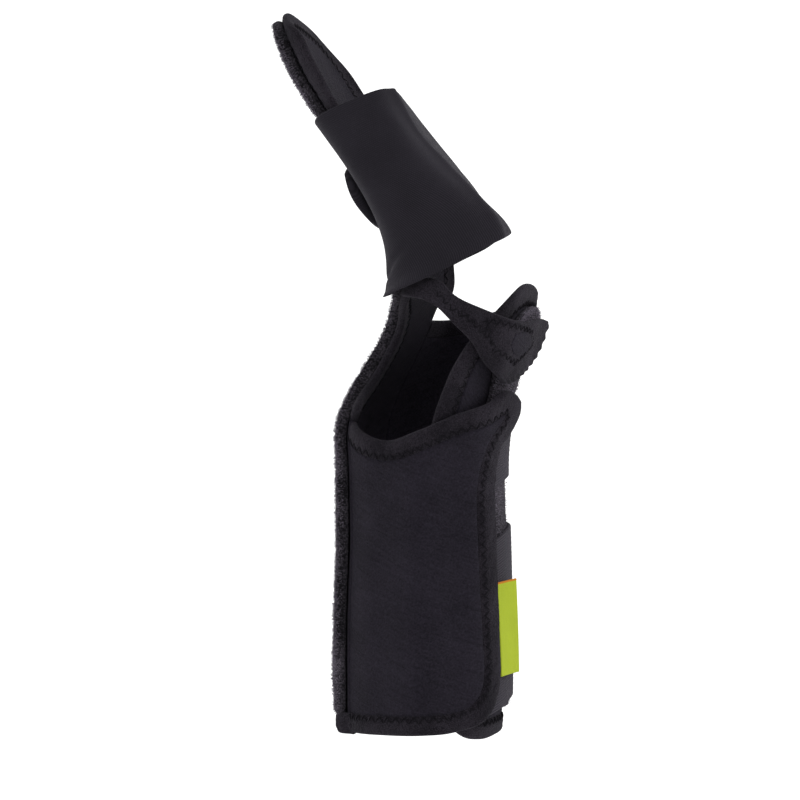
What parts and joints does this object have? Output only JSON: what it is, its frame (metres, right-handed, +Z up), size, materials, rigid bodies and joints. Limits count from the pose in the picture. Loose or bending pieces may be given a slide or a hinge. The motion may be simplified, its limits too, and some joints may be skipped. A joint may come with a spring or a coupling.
{
  "type": "hand splint",
  "caption": "Right wrist and hand brace with a palmar finger tongue, a finger sleeve, hook and pile straps and an open thumb side, in its worn form.",
  "frame": {"origin": "centre of the wrist hollow", "axes": "+Z up the forearm to the fingers, +X to the back of the hand, -Y to the thumb side"},
  "size_m": [0.099, 0.09, 0.2673],
  "materials": {
    "foam_cloth": "matte laminated foam cloth",
    "pile_cloth": "fuzzy loop pile",
    "elastic": "ribbed elastic webbing",
    "sleeve_cloth": "finely ribbed stretch cloth",
    "label_cloth": "plain yellow-green woven label"
  },
  "bodies": {
    "root": {"palmar_panel": "foam_cloth", "tongue_binding": "foam_cloth", "palmar_pocket": "pile_cloth", "palmar_hem": "foam_cloth", "radial_flap": "foam_cloth", "radial_flap_binding": "foam_cloth", "outer_wing": "foam_cloth", "outer_wing_binding": "foam_cloth", "dorsal_pile": "pile_cloth", "forearm_strap": "elastic", "wrist_strap": "elastic", "hand_strap": "foam_cloth", "hand_strap_hook": "pile_cloth", "finger_sleeve": "sleeve_cloth", "sleeve_tab": "sleeve_cloth", "side_label": "label_cloth"}
  },
  "joints": []
}
